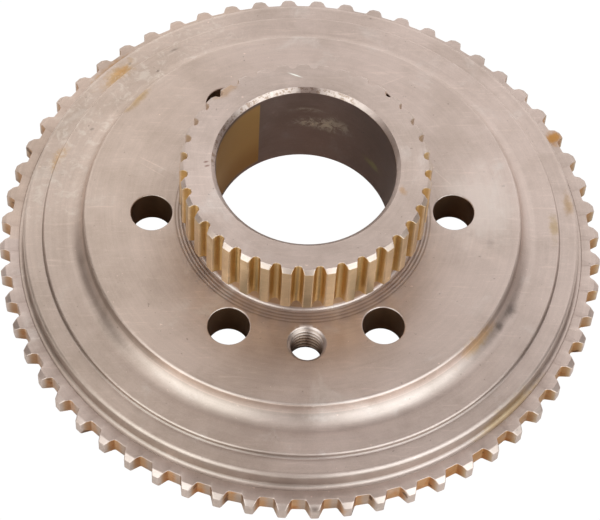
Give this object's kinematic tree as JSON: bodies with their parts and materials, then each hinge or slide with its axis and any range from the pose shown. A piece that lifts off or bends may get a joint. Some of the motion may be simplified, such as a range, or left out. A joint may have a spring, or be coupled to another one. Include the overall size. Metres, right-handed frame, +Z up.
{
  "type": "splined drive hub",
  "caption": "Dished round steel drive hub with a toothed outer rim, a ring of bolt holes, a tapped jacking hole and an externally splined collar round a plain bore.",
  "frame": {"origin": "on the shaft axis, in the plane of the rim's underside", "axes": "+Z up along the shaft axis towards the splined collar; +X through a bolt hole; -Y through the tapped jacking hole"},
  "size_m": [0.1936, 0.1936, 0.0496],
  "materials": {
    "rim_steel": "turned and hobbed, light oil tint in the gaps",
    "flange_steel": "fine turned, lightly oiled",
    "collar_steel": "turned and hobbed, brown oil film in the spline grooves and bore"
  },
  "bodies": {
    "root": {"hub_flange": "flange_steel", "toothed_rim": "rim_steel", "splined_collar": "collar_steel"}
  },
  "joints": []
}
